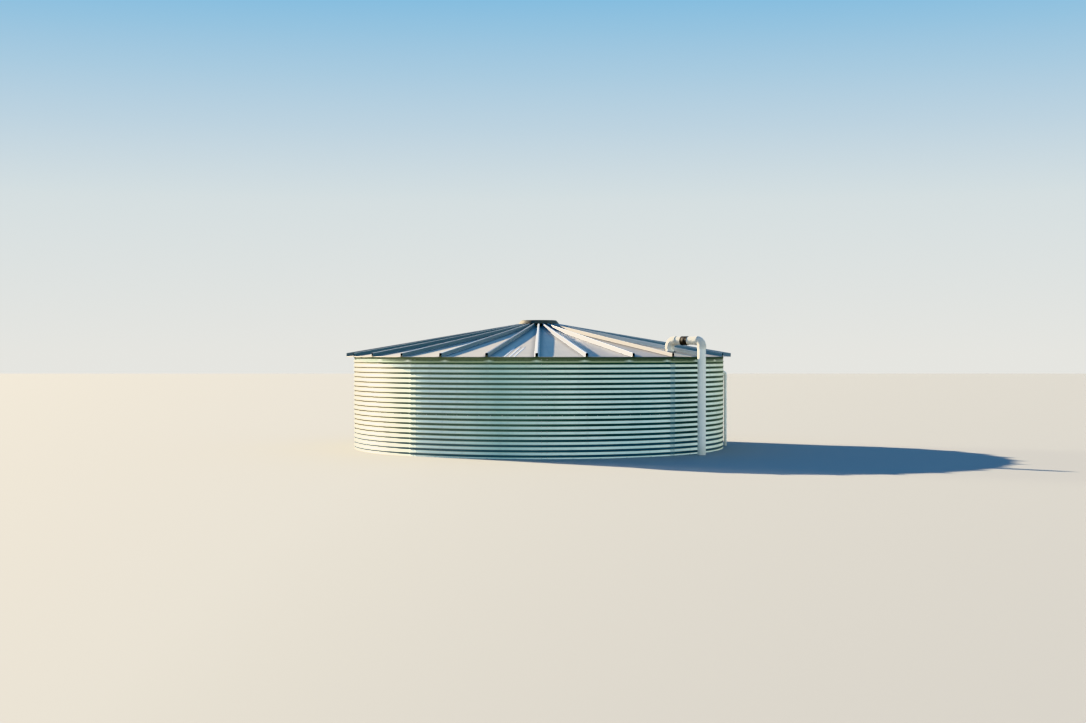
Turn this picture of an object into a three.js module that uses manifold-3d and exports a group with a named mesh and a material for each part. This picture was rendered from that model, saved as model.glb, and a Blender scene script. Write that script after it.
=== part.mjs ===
// A round corrugated steel water tank that stands on the ground: two rings of curved sheets, a low
// cone roof of flat panels with hollow ribs over their seams and a vent cap at the peak, a fill pipe
// that rises beside the tank and enters through the roof, and a thin overflow pipe that leaves the
// wall near its top.
// Lengths are in millimetres and angles in degrees. The ground is z = 0 and the tank's axis is the
// z axis. A bearing is counted from the front (-y) towards the right (+x).

import * as THREE from 'three';
import { mergeVertices } from 'three/addons/utils/BufferGeometryUtils.js';
import Module from 'manifold-3d';

const wasm = await Module();
wasm.setup();

const CLEARANCE = 0.3; // between pieces that touch

// The wall's corrugated sheets.
const PITCH = 101.6; // crest to crest
const DEPTH = 12.7; // valley to crest
const WALL_RADIUS = 4093; // to the middle of the corrugation
const WALL_THICK = 2;
const SHEETS = 9; // in each ring
const FACETS = 5; // flat strips that make one sheet's curve
const SHEET_STEP = 360 / SHEETS;
const FIRST_SEAM = 1.67; // bearing of the first upright seam
const UPPER_PITCHES = 11.5; // corrugations of the upper ring
const LOWER_PITCHES = 8.5; // and of the lower ring
const WALL_HEIGHT = (UPPER_PITCHES + LOWER_PITCHES) * PITCH;

// The roof's flat panels, and the hollow ribs that cover their seams.
const RIBS = 27;
const RIBS_PER_SECTION = RIBS / SHEETS;
const RIB_STEP = 360 / RIBS;
const FIRST_RIB = -0.4; // bearing of the rib at the front
const ROOF_THICK = 2;
const ROOF_SLOPE = 0.171; // rise over run, along a rib
const EAVE_RADIUS = 4265; // at a rib's end
const PEAK_RADIUS = 330; // where the sheets end under the cap
const RIB_HEIGHT = 75;
const RIB_FOOT = 29; // half the rib's width at the panel
const RIB_TOP = 26; // and at its top
const RIB_FLANGE = 24; // width of the flange on each side
const RIB_TAPER = 0.7; // the rib's width at the peak over that at the eave
const RIB_ROOT = 365; // out to here, webs join a section's three ribs
const RIB_WEB = [0.3, 0.7]; // and between these shares of the way from rib to rib
const PANEL_EDGE = 0.004; // how far an outer panel stops short of a rib's middle, as a share of its width

// The peak: a ring that carries the panels' inner ends, and the cap on the ribs.
const PEAK_RING = { inner: 300, outer: 370, height: 50 };
const CAP_RADIUS = 441;
const CAP_TOP_RADIUS = 354;
const CAP_TOP = 2817;
const CAP_CROWN = 6; // how far the cap's middle stands over its edge
const CAP_THICK = 3;

const FLOOR_THICK = 3;
const CUTTER = 400; // length of a rod or slab that cuts a hole, well past both faces

// The fill pipe, along one bearing: riser, elbow, run over the eave, rubber coupling, elbow, drop.
const FILL = {
  bearing: 49.4,
  riser: 4400, // distance of the riser from the tank's axis
  drop: 3600, // and of the drop through the roof
  height: 2340, // of the run's middle
  radius: 84.15,
  bore: 77,
  hub: 93.5,
  bend: 116, // radius of an elbow's middle line
  socket: 45, // depth to which a pipe enters a fitting
  dropEnd: 1950,
  endGap: 8, // between the two pipe ends inside the coupling
  section: 1, // index of the roof section that the drop passes through
  panel: 3.5, // that panel's middle, counted in ribs
};
const COUPLING = { from: 3900, to: 4062, radius: 92 };
const CLAMP = { inset: 20, width: 14, radius: 95 };
const ROOF_FLANGE = { radius: 125, thick: 5, hole: 88 };

// The overflow pipe, in the middle of one of the wall's flat strips.
const OVERFLOW = {
  riser: 4211,
  inside: 3980,
  height: WALL_HEIGHT - 3.75 * PITCH, // a valley of the corrugation
  radius: 30.15,
  bore: 26.25,
  hub: 36.5,
  bend: 48,
  socket: 18,
  sheet: 3, // index of the wall sheet that it passes through
  strip: 1.5, // the middle of a flat strip of that sheet, counted in strips
};
const OVERFLOW_COUPLING = { from: 1482, to: 1582 };
const WALL_FLANGE = { radius: 54, thick: 28 };
const OVERFLOW_BEARING = FIRST_SEAM + SHEET_STEP * (OVERFLOW.sheet - 1 + OVERFLOW.strip / FACETS);

const PIPE_SIDES = 16;
const ELBOW_STEPS = 4; // straight pieces round an elbow's bend

const rad = THREE.MathUtils.degToRad;
const outward = (bearing) => rad(bearing - 90); // turn about z that points +x along a bearing
const HALF_PANEL = Math.cos(rad(RIB_STEP / 2));
const PANEL_TILT = Math.atan(ROOF_SLOPE / HALF_PANEL);
const FLANGE_LOW = ROOF_THICK + CLEARANCE; // over the panels' underside
const FLANGE_HIGH = FLANGE_LOW + ROOF_THICK;
const EAVE_Z = WALL_HEIGHT + CLEARANCE - ROOF_SLOPE * (EAVE_RADIUS - WALL_RADIUS / HALF_PANEL);

const metal = (color, roughness) => ({ color, roughness, metalness: 0.8 });
const plastic = (color, roughness) => ({ color, roughness, metalness: 0 });
const FINISHES = {
  wall: metal(0xb9c4c4, 0.5),
  roof: metal(0xa9b3bd, 0.5),
  rib: metal(0xc3cad0, 0.5),
  cap: metal(0x8b959c, 0.5),
  liner: plastic(0x2d4f63, 0.7),
  pvc: plastic(0xe4e6e4, 0.4),
  rubber: plastic(0x1c1b1b, 0.8),
  clamp: metal(0xc8cccc, 0.3),
};

const tank = new THREE.Group();

/** Add a named piece to a group, with a material of its own. */
function add(group, name, geometry, finish) {
  const mesh = new THREE.Mesh(geometry, new THREE.MeshStandardMaterial(FINISHES[finish]));
  mesh.name = name;
  group.add(mesh);
  return mesh;
}

/** Move every corner of a geometry to where place(x, y, z) puts it. */
function remap(geometry, place) {
  const corners = geometry.attributes.position;
  for (let i = 0; i < corners.count; i++) {
    corners.setXYZ(i, ...place(corners.getX(i), corners.getY(i), corners.getZ(i)));
  }
  geometry.computeVertexNormals();
  return geometry;
}

/** A closed outline from a list of [x, y] corners. */
const outline = (corners) => new THREE.Shape(corners.map(([x, y]) => new THREE.Vector2(x, y)));

/** A straight extrusion along +z. */
function extrude(shape, depth, steps = 1) {
  const curveSegments = PIPE_SIDES / 2;
  return new THREE.ExtrudeGeometry(shape, { depth, steps, bevelEnabled: false, curveSegments });
}

/** The solid of a geometry, for cutting. */
function solid(geometry) {
  const bare = geometry.clone();
  bare.deleteAttribute('normal');
  bare.deleteAttribute('uv');
  const merged = mergeVertices(bare);
  const vertProperties = merged.attributes.position.array;
  const triVerts = Uint32Array.from(merged.index.array);
  return new wasm.Manifold(new wasm.Mesh({ numProp: 3, vertProperties, triVerts }));
}

/** The geometry of a solid. */
function fromSolid(body) {
  const { vertProperties, triVerts } = body.getMesh();
  const geometry = new THREE.BufferGeometry();
  geometry.setAttribute('position', new THREE.BufferAttribute(vertProperties, 3));
  geometry.setIndex(new THREE.BufferAttribute(triVerts, 1));
  geometry.computeVertexNormals();
  return geometry;
}

/** A rod along +z from z = 0, turned so that one flat side faces +x. */
function rod(radius, length) {
  const geometry = new THREE.CylinderGeometry(radius, radius, length, PIPE_SIDES);
  return geometry.rotateX(Math.PI / 2).translate(0, 0, length / 2);
}

/** A straight pipe along +z from z = 0. */
function pipe(outer, inner, length, steps = 1) {
  const ring = new THREE.Shape().absarc(0, 0, outer, 0, 2 * Math.PI);
  ring.holes.push(new THREE.Path().absarc(0, 0, inner, 0, 2 * Math.PI));
  return extrude(ring, length, steps);
}

/** A pipe that lies along +x from x = from to x = to. */
function lyingPipe(outer, inner, from, to) {
  return pipe(outer, inner, to - from).rotateY(Math.PI / 2).translate(from, 0, 0);
}

/** The length of an elbow's straight mouth: one step of its bend. */
const elbowMouth = (bend) => Math.PI / 2 * bend / ELBOW_STEPS;

/** How far an elbow's mouths lie from the crossing of its two axes. */
const elbowReach = (bend) => bend + elbowMouth(bend);

/** A right-angle elbow: the axes cross at the origin, one mouth looks down and the other along +x. */
function elbow(outer, inner, bend) {
  const mouth = elbowMouth(bend);
  const arc = Math.PI / 2 * bend;
  return remap(pipe(outer, inner, arc + 2 * mouth, ELBOW_STEPS + 2), (x, y, along) => {
    const turned = THREE.MathUtils.clamp((along - mouth) / bend, 0, Math.PI / 2);
    const before = Math.min(along, mouth);
    const after = Math.max(along - mouth - arc, 0);
    const middleX = bend * (1 - Math.cos(turned)) + after;
    const middleZ = before + bend * Math.sin(turned) - elbowReach(bend);
    return [middleX + x * Math.cos(turned), y, middleZ - x * Math.sin(turned)];
  });
}

/** Half the height of the corrugation's zigzag at a height over the ground, from -1 to 1. */
function corrugation(z) {
  const phase = (WALL_HEIGHT - z) / PITCH;
  const quarter = 4 * (phase - Math.floor(phase));
  return quarter < 1 ? quarter : quarter < 3 ? 2 - quarter : quarter - 4;
}

/** One curved sheet of the wall, from one height to another, between two upright seams. */
function wallSheet(index, low, high) {
  const heights = [low];
  const half = PITCH / 2;
  for (let z = Math.ceil((low - PITCH / 4) / half) * half + PITCH / 4; z < high; z += half) {
    if (z - low > 1) heights.push(z);
  }
  heights.push(high);
  const face = heights.map((z) => [WALL_RADIUS + corrugation(z) * DEPTH / 2, z]);
  const back = face.map(([radius, z]) => [radius - WALL_THICK, z]).reverse();
  const gap = THREE.MathUtils.radToDeg(CLEARANCE / WALL_RADIUS);
  const sweep = SHEET_STEP - gap;
  const end = FIRST_SEAM + index * SHEET_STEP - gap / 2;
  const flat = extrude(outline([...face, ...back]), sweep, FACETS);
  return remap(flat, (radius, z, along) => {
    const bearing = rad(end - along);
    return [radius * Math.sin(bearing), -radius * Math.cos(bearing), z];
  });
}

/** The height of the panels' underside along a rib, out mm from the tank's axis. */
const ribLine = (out) => EAVE_Z + ROOF_SLOPE * (EAVE_RADIUS - out);

/** The same for a flat panel between two ribs, out mm from the axis along the panel's middle. */
const panelLine = (out) => ribLine(out / HALF_PANEL);

/** A point out mm along a rib's foot from the tank's axis, moved aside and up. Ribs are counted. */
function ribPoint(rib, out, aside, up) {
  const bearing = rad(FIRST_RIB + rib * RIB_STEP);
  return [
    out * Math.sin(bearing) + aside * Math.cos(bearing),
    -out * Math.cos(bearing) + aside * Math.sin(bearing),
    ribLine(out) + up,
  ];
}

/** The number of the first rib in a section, counted from the one at the front. */
const firstRib = (index) => RIBS_PER_SECTION * index - 1;

/**
 * A flat sheet on the slope between neighbouring ribs, or over several such spans: from one share of
 * a span past the rib to another, between two heights over the panels' underside, out to a radius.
 */
function slopeSheet(rib, from, to, low, high, outer) {
  const strip = outline([[PEAK_RADIUS, low], [outer, low], [outer, high], [PEAK_RADIUS, high]]);
  const spans = Math.ceil(to);
  return remap(extrude(strip, spans, spans), (out, up, across) => {
    const x = THREE.MathUtils.clamp(spans - across, from, to);
    const before = Math.floor(x);
    const left = ribPoint(rib + before, out, 0, up);
    const right = ribPoint(rib + before + 1, out, 0, up);
    return left.map((value, axis) => THREE.MathUtils.lerp(value, right[axis], x - before));
  });
}

/** One hollow rib with a flange on each side, narrower towards the peak. */
function hollowRib(rib) {
  const edge = RIB_FOOT + RIB_FLANGE;
  const half = [
    [RIB_FOOT - ROOF_THICK, FLANGE_LOW],
    [edge, FLANGE_LOW],
    [edge, FLANGE_HIGH],
    [RIB_FOOT, FLANGE_HIGH],
    [RIB_TOP, RIB_HEIGHT],
  ];
  const mirrored = half.map(([x, up]) => [-x, up]).reverse();
  const bend = RIB_TOP - ROOF_THICK;
  const under = [[-bend, RIB_HEIGHT - ROOF_THICK], [bend, RIB_HEIGHT - ROOF_THICK]];
  const length = EAVE_RADIUS - PEAK_RADIUS;
  return remap(extrude(outline([...half, ...mirrored, ...under]), length), (x, up, along) => {
    const width = THREE.MathUtils.lerp(RIB_TAPER, 1, along / length);
    return ribPoint(rib, PEAK_RADIUS + along, x * width, up);
  });
}

/** A section's three hollow ribs. Short webs join their flanges at the peak. */
function roofRibs(index) {
  const first = firstRib(index);
  let body = solid(hollowRib(first));
  for (let rib = first; rib < first + RIBS_PER_SECTION - 1; rib++) {
    const web = slopeSheet(rib, ...RIB_WEB, FLANGE_LOW, FLANGE_HIGH, RIB_ROOT);
    body = body.add(solid(web)).add(solid(hollowRib(rib + 1)));
  }
  return fromSolid(body);
}

/** A body turned about the tank's axis from a closed profile of [radius, height] corners. */
function turned(profile, sides, bearing) {
  const points = profile.map(([radius, z]) => new THREE.Vector2(radius, z));
  return new THREE.LatheGeometry(points, sides).rotateX(Math.PI / 2).rotateZ(rad(bearing));
}

// Wall.
const joint = LOWER_PITCHES * PITCH;
const overflowHole = rod(OVERFLOW.radius + CLEARANCE * 2, CUTTER).rotateY(Math.PI / 2);
overflowHole.translate(WALL_RADIUS - CUTTER / 2, 0, OVERFLOW.height).rotateZ(outward(OVERFLOW_BEARING));
for (let i = 0; i < SHEETS; i++) {
  add(tank, `lower_wall_sheet_${i + 1}`, wallSheet(i, 0, joint - CLEARANCE / 2), 'wall');
  const upper = wallSheet(i, joint + CLEARANCE / 2, WALL_HEIGHT);
  const sheet = i === OVERFLOW.sheet ? fromSolid(solid(upper).subtract(solid(overflowHole))) : upper;
  add(tank, `upper_wall_sheet_${i + 1}`, sheet, 'wall');
}

// Floor.
const floorRadius = WALL_RADIUS - WALL_THICK - FLOOR_THICK * 2 * DEPTH / PITCH - CLEARANCE;
const floor = [[0, 0], [floorRadius, 0], [floorRadius, FLOOR_THICK], [0, FLOOR_THICK]];
add(tank, 'floor', turned(floor, SHEETS * FACETS, FIRST_SEAM), 'liner');

// Roof.
const dropHole = rod(ROOF_FLANGE.hole, CUTTER);
dropHole.translate(FILL.drop, 0, ribLine(FILL.drop) - CUTTER / 2).rotateZ(outward(FILL.bearing));
for (let i = 0; i < SHEETS; i++) {
  const spans = [PANEL_EDGE, RIBS_PER_SECTION - PANEL_EDGE];
  const whole = slopeSheet(firstRib(i), ...spans, 0, ROOF_THICK, EAVE_RADIUS);
  const panels = i === FILL.section ? fromSolid(solid(whole).subtract(solid(dropHole))) : whole;
  add(tank, `roof_panels_${i + 1}`, panels, 'roof');
  add(tank, `roof_ribs_${i + 1}`, roofRibs(i), 'rib');
}

// Peak.
const ringTop = panelLine(PEAK_RING.outer) - CLEARANCE;
const ringLow = ringTop - PEAK_RING.height;
const ring = [
  [PEAK_RING.inner, ringLow],
  [PEAK_RING.outer, ringLow],
  [PEAK_RING.outer, ringTop],
  [PEAK_RING.inner, ringTop],
  [PEAK_RING.inner, ringLow],
];
add(tank, 'peak_ring', turned(ring, RIBS, FIRST_RIB), 'roof');
const rimInner = (CAP_RADIUS - CAP_THICK) * HALF_PANEL;
const rimZ = ribLine(rimInner) + RIB_HEIGHT + CLEARANCE;
const cap = [
  [0, CAP_TOP + CAP_CROWN - CAP_THICK],
  [CAP_TOP_RADIUS - CAP_THICK / 2, CAP_TOP - CAP_THICK],
  [CAP_RADIUS - CAP_THICK, rimZ],
  [CAP_RADIUS, rimZ],
  [CAP_TOP_RADIUS, CAP_TOP],
  [0, CAP_TOP + CAP_CROWN],
];
add(tank, 'roof_cap', turned(cap, RIBS, FIRST_RIB), 'cap');

// Fill pipe, in a group whose +x points outwards along its bearing.
const fillLine = new THREE.Group();
fillLine.rotation.z = outward(FILL.bearing);
tank.add(fillLine);
const reach = elbowReach(FILL.bend);
const sleeve = FILL.radius + CLEARANCE; // bore of whatever slips over the pipe
const middle = (COUPLING.from + COUPLING.to) / 2;
const mouthZ = FILL.height - reach;
const riser = add(fillLine, 'fill_riser', pipe(FILL.radius, FILL.bore, mouthZ + FILL.socket), 'pvc');
riser.position.x = FILL.riser;
const upperElbow = add(fillLine, 'fill_upper_elbow', elbow(FILL.hub, sleeve, FILL.bend), 'pvc');
upperElbow.position.set(FILL.riser, 0, FILL.height);
upperElbow.rotation.z = Math.PI;
const runEnds = [middle + FILL.endGap / 2, FILL.riser - reach + FILL.socket];
const run = add(fillLine, 'fill_run_pipe', lyingPipe(FILL.radius, FILL.bore, ...runEnds), 'pvc');
run.position.z = FILL.height;
const rubber = lyingPipe(COUPLING.radius, sleeve, COUPLING.from, COUPLING.to);
add(fillLine, 'rubber_coupling', rubber, 'rubber').position.z = FILL.height;
[COUPLING.to - CLAMP.inset - CLAMP.width, COUPLING.from + CLAMP.inset].forEach((x, i) => {
  const band = lyingPipe(CLAMP.radius, COUPLING.radius + CLEARANCE, x, x + CLAMP.width);
  add(fillLine, `coupling_clamp_${i + 1}`, band, 'clamp').position.z = FILL.height;
});
const stubEnds = [FILL.drop + reach - FILL.socket, middle - FILL.endGap / 2];
const stub = add(fillLine, 'fill_stub_pipe', lyingPipe(FILL.radius, FILL.bore, ...stubEnds), 'pvc');
stub.position.z = FILL.height;
const dropElbow = add(fillLine, 'fill_drop_elbow', elbow(FILL.hub, sleeve, FILL.bend), 'pvc');
dropElbow.position.set(FILL.drop, 0, FILL.height);
const dropLength = mouthZ + FILL.socket - FILL.dropEnd;
const drop = add(fillLine, 'fill_drop_pipe', pipe(FILL.radius, FILL.bore, dropLength), 'pvc');
drop.position.set(FILL.drop, 0, FILL.dropEnd);

// The flange where the drop meets the roof: an upright ring, cut by a slab that lies on the panel.
const panelBearing = FIRST_RIB + FILL.panel * RIB_STEP;
const panelOut = FILL.drop * Math.cos(rad(FILL.bearing - panelBearing));
const panelZ = panelLine(panelOut) + ROOF_THICK;
const dropX = FILL.drop * Math.sin(rad(FILL.bearing));
const dropY = -FILL.drop * Math.cos(rad(FILL.bearing));
const slab = new THREE.BoxGeometry(CUTTER, CUTTER, ROOF_FLANGE.thick);
slab.rotateY(PANEL_TILT).rotateZ(outward(panelBearing));
slab.translate(dropX, dropY, panelZ + (CLEARANCE + ROOF_FLANGE.thick / 2) / Math.cos(PANEL_TILT));
const upright = pipe(ROOF_FLANGE.radius, sleeve, CUTTER).rotateZ(outward(FILL.bearing));
upright.translate(dropX, dropY, panelZ - CUTTER / 2);
add(tank, 'roof_pipe_flange', fromSolid(solid(slab).intersect(solid(upright))), 'rubber');

// Overflow pipe, in a group of its own like the fill pipe's.
const overflow = new THREE.Group();
overflow.rotation.z = outward(OVERFLOW_BEARING);
tank.add(overflow);
const thinReach = elbowReach(OVERFLOW.bend);
const thinSleeve = OVERFLOW.radius + CLEARANCE;
const throughEnds = [OVERFLOW.inside, OVERFLOW.riser - thinReach + OVERFLOW.socket];
const through = lyingPipe(OVERFLOW.radius, OVERFLOW.bore, ...throughEnds);
add(overflow, 'overflow_pipe', through, 'pvc').position.z = OVERFLOW.height;
const crest = (WALL_RADIUS + DEPTH / 2) * Math.cos(rad(180 / SHEETS / FACETS)) + CLEARANCE;
const flange = lyingPipe(WALL_FLANGE.radius, thinSleeve, crest, crest + WALL_FLANGE.thick);
add(overflow, 'overflow_wall_flange', flange, 'pvc').position.z = OVERFLOW.height;
const thinElbow = add(overflow, 'overflow_elbow', elbow(OVERFLOW.hub, thinSleeve, OVERFLOW.bend), 'pvc');
thinElbow.position.set(OVERFLOW.riser, 0, OVERFLOW.height);
thinElbow.rotation.z = Math.PI;
const downLength = OVERFLOW.height - thinReach + OVERFLOW.socket;
const down = add(overflow, 'overflow_downpipe', pipe(OVERFLOW.radius, OVERFLOW.bore, downLength), 'pvc');
down.position.x = OVERFLOW.riser;
const hubLength = OVERFLOW_COUPLING.to - OVERFLOW_COUPLING.from;
const hub = add(overflow, 'overflow_coupling', pipe(OVERFLOW.hub, thinSleeve, hubLength), 'pvc');
hub.position.set(OVERFLOW.riser, 0, OVERFLOW_COUPLING.from);

export default tank;
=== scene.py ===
# %% [markdown]
# A round corrugated steel water tank, dressed for a render
#
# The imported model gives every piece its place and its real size. This lesson puts the looks around
# it: rounded corrugation, lapped and bolted sheets, hollow roof ribs, pipe fittings with collars, and
# finishes that come from the shader nodes. All lengths are metres. The ground is z = 0, the tank's
# axis is the z axis, and a bearing is counted from the front (-y) towards the right (+x).

import math

import bpy
import numpy as np
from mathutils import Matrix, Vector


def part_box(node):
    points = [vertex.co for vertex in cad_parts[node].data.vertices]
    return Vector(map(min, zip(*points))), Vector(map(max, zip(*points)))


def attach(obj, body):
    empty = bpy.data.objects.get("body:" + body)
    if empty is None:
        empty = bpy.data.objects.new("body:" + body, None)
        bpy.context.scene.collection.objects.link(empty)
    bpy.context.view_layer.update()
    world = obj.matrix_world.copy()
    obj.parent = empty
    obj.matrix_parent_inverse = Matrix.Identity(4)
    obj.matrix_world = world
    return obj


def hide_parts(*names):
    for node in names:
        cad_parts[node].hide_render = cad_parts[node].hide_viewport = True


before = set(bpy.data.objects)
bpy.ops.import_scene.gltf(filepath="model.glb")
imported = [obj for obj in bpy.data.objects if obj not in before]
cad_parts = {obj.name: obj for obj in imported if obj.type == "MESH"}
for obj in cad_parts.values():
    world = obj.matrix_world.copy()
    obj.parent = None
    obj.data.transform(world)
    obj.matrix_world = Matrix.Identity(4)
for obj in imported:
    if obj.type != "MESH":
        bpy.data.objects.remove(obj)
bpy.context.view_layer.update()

# %% [markdown]
# Where things are
#
# The real tank is made from a few repeated measures: the corrugation's pitch, nine sheets to a ring,
# three roof ribs to a sheet. The model's own values are repeated here as named numbers, and what can
# be read from the frame's boxes is read from there, so the dressed pieces land on the plain ones.

# %% Driving sizes
PITCH = 0.1016  # the corrugation, crest to crest
DEPTH = 0.0127  # and from valley to crest
WALL_PITCHES = 20  # the wall's height in corrugations
WALL_RADIUS = 4.093  # to the middle of the corrugation
WALL_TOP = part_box("upper_wall_sheet_1")[1].z
RING_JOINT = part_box("lower_wall_sheet_1")[1].z
FIRST_CREST = WALL_TOP - PITCH / 4
SHEETS = 9
SHEET_STEP = math.radians(360 / SHEETS)
FIRST_SEAM = math.radians(1.67)

RIBS = 27
RIBS_PER_SECTION = RIBS // SHEETS
RIB_STEP = math.radians(360 / RIBS)
FIRST_RIB = math.radians(-0.4)
EAVE_RADIUS = 4.265
PEAK_RADIUS = 0.330
ROOF_SLOPE = 0.171
RIB_HEIGHT = 0.075
RIB_TAPER = 0.7  # a rib's width at the peak over that at the eave
EAVE_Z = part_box("roof_ribs_1")[1].z - RIB_HEIGHT - ROOF_SLOPE * (EAVE_RADIUS - PEAK_RADIUS)
CAP_RIM = 0.452
CAP_FLAT = 0.388  # the radius of the cap's nearly flat middle
CAP_RISE = 0.006  # and how much that middle rises to the axis
CAP_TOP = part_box("roof_cap")[1].z - CAP_RISE
CAP_RIM_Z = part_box("roof_cap")[0].z
print(f"wall top {WALL_TOP:.4f}, ring joint {RING_JOINT:.4f}, eave {EAVE_Z:.4f}, cap rim {CAP_RIM_Z:.4f}")

# %% [markdown]
# The camera
#
# The photograph was taken from about eye height, some thirty-four metres away, with a normal lens.
# The tank's two wall edges give its distance, the eave and the horizon its height. The lens, the
# small shift of the tank from the picture's middle, and the slight downward look follow from these.

# %% Camera
FRAME_WIDTH, FRAME_HEIGHT = 1086, 723  # the photograph's frame, in pixels
FOCAL_PIXELS = 1508.3
SENSOR_MM = 36.0
TANK_PIXEL = 538.8  # where the tank's axis stands in the picture
HORIZON_PIXEL = 353.2
DISTANCE = 33.72
EYE_HEIGHT = 2.082


def linked(name, data):
    """A new object of the scene."""
    made = bpy.data.objects.new(name, data)
    bpy.context.scene.collection.objects.link(made)
    return made


data = bpy.data.cameras.new("camera")
data.sensor_width = SENSOR_MM
data.lens = FOCAL_PIXELS / FRAME_WIDTH * SENSOR_MM
data.clip_end = 500
camera = linked("camera", data)
aside = (FRAME_WIDTH / 2 - TANK_PIXEL) / FOCAL_PIXELS * DISTANCE
look_down = math.atan((FRAME_HEIGHT / 2 - HORIZON_PIXEL) / FOCAL_PIXELS)
camera.location = (aside, -DISTANCE, EYE_HEIGHT)
camera.rotation_euler = (math.pi / 2 - look_down, 0, 0)
bpy.context.scene.camera = camera
print(f"lens {data.lens:.1f} mm, camera {aside:.3f} m right of the axis,", end=" ")
print(f"looking down {math.degrees(look_down):.2f} degrees")

# %% [markdown]
# Surfaces from arrays
#
# Almost every piece here is sheet or pipe, so it is a grid of points worked out at once with numpy.
# A point grid P[u, v] becomes quads whose front looks along du x dv. Sheet metal is a grid with a back
# grid one thickness behind it, and round parts are closed profiles turned about an axis. This was
# chosen over modifiers because each piece then is one closed, exact mesh. A piece's object stays at
# the origin, with its place in its mesh.

# %% Grid helpers
AXIS_GAP = 0.0002  # a closed end stops this close to its axis
UP = np.array([0.0, 0.0, 1.0])


def polar(radius, bearing, z):
    """Points round the tank: x = radius sin(bearing), y = -radius cos(bearing), z as given."""
    radius, bearing, z = np.broadcast_arrays(radius, bearing, z)
    return np.stack([radius * np.sin(bearing), -radius * np.cos(bearing), z], axis=-1)


def outward(bearing):
    """The level unit vector that leaves the axis at a bearing."""
    return polar(1.0, bearing, 0.0)


def tangent(bearing):
    """The level unit vector towards growing bearings: outward, a quarter turn on."""
    return outward(bearing + math.pi / 2)


def quads(index):
    """Quads of an index grid: (u, v), (u+1, v), (u+1, v+1), (u, v+1)."""
    corners = [index[:-1, :-1], index[1:, :-1], index[1:, 1:], index[:-1, 1:]]
    return np.stack([c.ravel() for c in corners], axis=1)


def normals(points):
    """Unit normals of a grid: the cross product of its differences along u and along v."""
    across = np.cross(np.gradient(points, axis=0), np.gradient(points, axis=1))
    return across / np.linalg.norm(across, axis=-1, keepdims=True)


def shell(points, thickness):
    """Sheet metal: the grid, the grid moved back by its thickness along its normals, and four edges."""
    nu, nv = points.shape[:2]
    back = points - thickness * normals(points)
    front = np.arange(nu * nv).reshape(nu, nv)
    rear = front + nu * nv
    edges = [np.stack([rear[0], front[0]]), np.stack([front[-1], rear[-1]]),
             np.stack([rear[:, 0], front[:, 0]], axis=1), np.stack([front[:, -1], rear[:, -1]], axis=1)]
    faces = [quads(front), quads(rear)[:, ::-1], *(quads(edge) for edge in edges)]
    return np.concatenate([points.reshape(-1, 3), back.reshape(-1, 3)]), np.concatenate(faces)


def ring_body(points):
    """A closed ring-shaped body from a grid that wraps both ways, such as a pipe with a bore."""
    nu, nv = points.shape[:2]
    index = np.pad(np.arange(nu * nv).reshape(nu, nv), ((0, 1), (0, 1)), mode="wrap")
    return points.reshape(-1, 3), quads(index)


def spun(profile, centre, way, side, sides):
    """A closed profile of (distance along way, radius) turned about the axis through centre. A point
    is centre + distance x way + radius x (cos a x side + sin a x (way x side)), and the part of the
    profile that runs along way faces away from the axis."""
    angle = np.linspace(0, 2 * np.pi, sides, endpoint=False)[:, None, None]
    distance, radius = np.array(profile).T[:, None, :, None]
    around = np.cos(angle) * side + np.sin(angle) * np.cross(way, side)
    return ring_body(centre + distance * way + radius * around)


def capped(profile):
    """The profile of a solid round part: it starts and ends at the axis."""
    return [(profile[0][0], AXIS_GAP), *profile, (profile[-1][0], AXIS_GAP)]


def joined(bodies):
    """Several bodies (vertices, quads) as one."""
    vertices, faces, count = [], [], 0
    for v, f in bodies:
        vertices.append(v)
        faces.append(f + count)
        count += len(v)
    return np.concatenate(vertices), np.concatenate(faces)


def copies(body, seats, axes, size=1.0):
    """A body put at each seat: a copy's point is seat + size x (its x, y, z along the seat's axes)."""
    vertices, faces = body
    placed = np.einsum("vi,nij->nvj", size * vertices, axes) + seats[:, None, :]
    offsets = (np.arange(len(seats)) * len(vertices))[:, None, None]
    return placed.reshape(-1, 3), (faces[None] + offsets).reshape(-1, 4)


# %% Make a piece
SHARP = math.radians(35)  # a fold that turns more than this shows as an edge


def add_piece(name, body, finish, slot, replaces=(), **attributes):
    """Make a mesh object from a body, dress it, and tie it to the tank. An attribute is an array of
    one number for each point."""
    vertices, faces = body
    mesh = bpy.data.meshes.new(name)
    mesh.from_pydata(vertices, [], faces.tolist(), shade_flat=False)
    mesh.validate()
    mesh.set_sharp_from_angle(angle=SHARP)
    for key, values in attributes.items():
        mesh.attributes.new(key, "FLOAT", "POINT").data.foreach_set("value", values.astype(np.float32))
    mesh.materials.append(finish)
    piece = linked(name, mesh)
    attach(piece, "root")
    if replaces:
        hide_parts(*replaces)


# %% [markdown]
# Shader maths in plain expressions
#
# A finish is a chain of small sums: where a point is, how far down a corrugation, how worn. The Value
# class wraps one output socket, so that such sums read as sums. Colours are mixed with Mix nodes
# only, because a Math node would turn them grey.

# %% Shader values
def srgb(red, green, blue):
    """A colour given on a 0 to 255 scale, as the linear colour that the shader wants."""
    scaled = np.array([red, green, blue]) / 255
    linear = np.where(scaled <= 0.04045, scaled / 12.92, ((scaled + 0.055) / 1.055) ** 2.4)
    return (*linear.tolist(), 1.0)


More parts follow.
